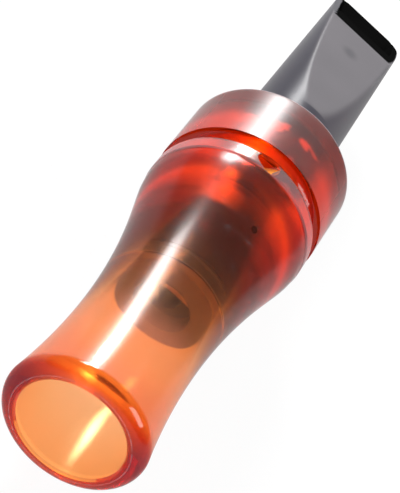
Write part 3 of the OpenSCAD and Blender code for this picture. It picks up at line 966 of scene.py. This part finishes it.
# %% [markdown]
# ## Smoke-grey plastic: the tube
# Inside the barrel the tube is dull and dark. Under the collar it carries a pale film of
# painted reflection: it stands for the light that the air gap between tube and socket mirrors
# back, and dark patches break through it where the tube touches the socket. That is what shows
# under the collar as light and dark patches. Lower down on the left a painted glow stands for
# light that comes through the wall in front of the tube. Neither has any thickness, so both
# are colours. The film's ragged edge is a height with noise added, and the dark patches are
# noise cut at a threshold.

# %% The tube's colour, with painted reflection and glow
TUBE_DARK = (0.010, 0.008, 0.009)
# Painted light: a pale film for the reflection of the air gap, palest near the collar's face, and the same
# colours for a glow lower down.
FILM_REFLECTION, PALER_REFLECTION = (0.32, 0.23, 0.20), (0.92, 0.72, 0.55)
REFLECTION_Z, RAGGED_SCALE, RAGGED = (59.0, 70.3, 0.3), 260.0, 6.0
PATCH_SCALE, PATCH_CUT, PATCH_X = 190.0, (0.550, 0.535), (-2.2, 7.0, 1.2)
PAINTED_GLOW_Z, PAINTED_GLOW_X, PALER_Z = (48.5, 51.5, 1.5), (0.5, -4.0), (67.0, 71.0)


def tube_color(tree, place, height, across):
    """Dark plastic under a pale film of painted reflection between two ragged heights, with
    dark patches where the tube touches the socket, and a painted glow lower down on the left.
    The film is painted palest near the collar's face."""
    patches = ramp(tree, noise(tree, place, PATCH_SCALE, detail=2.0), *PATCH_CUT)
    # Dark patches: no painted reflection where the tube touches the socket.
    touching = times(tree, between(tree, across, *PATCH_X), patches)
    middle = math(tree, "SUBTRACT", height, RAGGED / 2)
    ragged = times(tree, noise(tree, place, RAGGED_SCALE), RAGGED, middle)
    film = times(tree, between(tree, ragged, *REFLECTION_Z), math(tree, "SUBTRACT", 1.0, touching))
    # Painted glow, for light that comes through the wall in front of the tube.
    painted_glow = times(tree, between(tree, height, *PAINTED_GLOW_Z), ramp(tree, across, *PAINTED_GLOW_X))
    thin = larger(tree, painted_glow, ramp(tree, height, *PALER_Z))
    return tint(tree, larger(tree, film, painted_glow), TUBE_DARK, tint(tree, thin, FILM_REFLECTION, PALER_REFLECTION))


# The pale film of painted reflection lies between these heights on the tube.
print("film of painted_reflection:", round(REFLECTION_Z[0] - SEAT_Z, 1), "to", round(REFLECTION_Z[1] - SEAT_Z, 1), "mm up the tube")

# %% [markdown]
# ## Smoke-grey plastic: the bill
# The bill lets a little light through, but at its wall's thickness it reads as a grey, satin
# solid, so it is an opaque shader with a sheen at its grazing sides. Light is painted into its
# grey: the flat facet is painted palest, for the light it catches, and the round sides are
# painted lighter on the right than on the left, because the lamps reach the right side less.
# The facet also has a faint darker spot. The windway and most of the mouth's rim are painted
# black as shade: a real slot this narrow lets no light back out.

# %% The bill's colour, with painted light
# Painted light: the facet is painted paler for the light it catches, and the right side lighter than the
# left, to even out the lamps' light on the sides.
SIDE_LEFT, SIDE_RIGHT = (0.040, 0.037, 0.052), (0.085, 0.075, 0.092)
FACET_GREY, DIM_GREY, CLOUD_GREY = (0.146, 0.137, 0.149), (0.095, 0.090, 0.100), (0.02, 0.02, 0.022)
CLOUD_SHARE, CLOUD_SCALE, RIGHT_X = 0.25, 90.0, (-1.0, 5.0)
# A faint darker spot on the facet: its reach from the axis, height, turn, size and fade.
DIM_REACH, DIM_Z, DIM_TURN, DIM_SIZE, DIM_FADE = 4.8, 109.1, -4.6, 0.4, 5.0


def bill_color(tree, place, across):
    """Grey with painted light, lighter to the right and paler on the facet, and a darker spot
    on the facet, under a faint dark cloudiness.
    """
    side = tint(tree, ramp(tree, across, *RIGHT_X), SIDE_LEFT, SIDE_RIGHT)
    dim = at_spot(tree, place, DIM_REACH, DIM_Z, DIM_TURN, DIM_SIZE, DIM_FADE)
    grey = tint(tree, painted(tree, "facet"), side, tint(tree, dim, FACET_GREY, DIM_GREY))
    return tint(tree, times(tree, noise(tree, place, CLOUD_SCALE), CLOUD_SHARE), grey, CLOUD_GREY)


print("sink mark", round(CALL_L - DIM_Z, 1), "mm below the tip")

# %% The whole mouthpiece material
SLOT_BLACK, BILL_Z = (0.004, 0.004, 0.004), (74.0, 74.5)
PLASTIC_INDEX, SHEEN, SHEEN_ROUGHNESS = 1.50, 0.25, 0.35
TUBE_ROUGHNESS, BILL_ROUGHNESS, TUBE_SPECULAR, BILL_SPECULAR = 0.62, 0.37, 0.15, 0.20


def smoke_plastic():
    """The mouthpiece's finish: the tube's colour below the collar's face and the bill's above
    it, with a soft gloss that is stronger on the bill, and black painted as shade in the windway
    and on most of the mouth's rim."""
    material, tree, output = new_material("smoke_plastic")
    place = object_place(tree)
    _, height, across = axis_place(tree, place)
    bill = ramp(tree, height, *BILL_Z)
    shader = tree.nodes.new("ShaderNodeBsdfPrincipled")
    shader.inputs["IOR"].default_value = PLASTIC_INDEX
    shader.inputs["Sheen Weight"].default_value = SHEEN
    shader.inputs["Sheen Roughness"].default_value = SHEEN_ROUGHNESS
    color = tint(tree, bill, tube_color(tree, place, height, across), bill_color(tree, place, across))
    feed(tree, color, shader.inputs["Base Color"])
    rough = times(tree, bill, BILL_ROUGHNESS - TUBE_ROUGHNESS, TUBE_ROUGHNESS)
    feed(tree, rough, shader.inputs["Roughness"])
    specular = times(tree, bill, BILL_SPECULAR - TUBE_SPECULAR, TUBE_SPECULAR)
    feed(tree, specular, shader.inputs["Specular IOR Level"])
    # Painted shade: black on the rows of the windway and the mouth's rim.
    surface = mixed(tree, painted(tree, "in_shade"), shader.outputs[0], lobe(tree, "Diffuse", SLOT_BLACK))
    feed(tree, surface, output.inputs["Surface"])
    return material


mouthpiece.data.materials.append(smoke_plastic())
print("mouthpiece material:", len(mouthpiece.data.materials[0].node_tree.nodes), "nodes")

# %% [markdown]
# ## The pieces inside
# The plug, the board, the reed, its wedge and the three seals are small and lie in the dark,
# seen only through the acrylic or when the call is taken apart. Their CAD shape is fine
# enough, so they are not drawn again. Each gets a plain finish of its real stuff: moulded
# plastic, amber film, cork and rubber, with a fine mottle so that it isn't one flat colour.

# %% Their finishes
MOTTLE_SCALE, MOTTLE_LIGHTER = 900.0, 1.25


def plain_finish(name, color, roughness, grain=0.0):
    """A solid finish with a fine mottle between its colour and a lighter one: the colour times
    (1.25 + grain), at most 1."""
    material, tree, output = new_material(name)
    shader = tree.nodes.new("ShaderNodeBsdfPrincipled")
    shader.inputs["Roughness"].default_value = roughness
    lighter = tuple(min(1, part * (MOTTLE_LIGHTER + grain)) for part in color)
    mottle = noise(tree, object_place(tree), MOTTLE_SCALE, detail=2.0)
    feed(tree, tint(tree, mottle, color, lighter), shader.inputs["Base Color"])
    feed(tree, shader.outputs[0], output.inputs["Surface"])
    return material


finishes = {
    "reed_plug": plain_finish("plug_brown", (0.11, 0.072, 0.052), roughness=0.50),
    "tone_board": plain_finish("board_black", (0.03, 0.03, 0.034), roughness=0.40),
    "reed": plain_finish("reed_amber", (0.75, 0.62, 0.34), roughness=0.25),
    "reed_wedge": plain_finish("cork", (0.42, 0.25, 0.13), roughness=0.85, grain=0.5),
}
rubber = plain_finish("seal_rubber", (0.02, 0.02, 0.02), roughness=0.55)
for seal in ("upper_o_ring", "lower_o_ring", "plug_o_ring"):
    finishes[seal] = rubber
for node, material in finishes.items():
    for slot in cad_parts[node].material_slots:
        slot.material = material
print("finished nodes:", sorted(finishes))

# %% [markdown]
# ## Finish
# The dressed call must fill the same box as the CAD model, or it would no longer fit where
# that one fits. Only the CAD model's box is printed, near the top.

# %% Set the view transform
bpy.context.scene.view_settings.view_transform = "Standard"
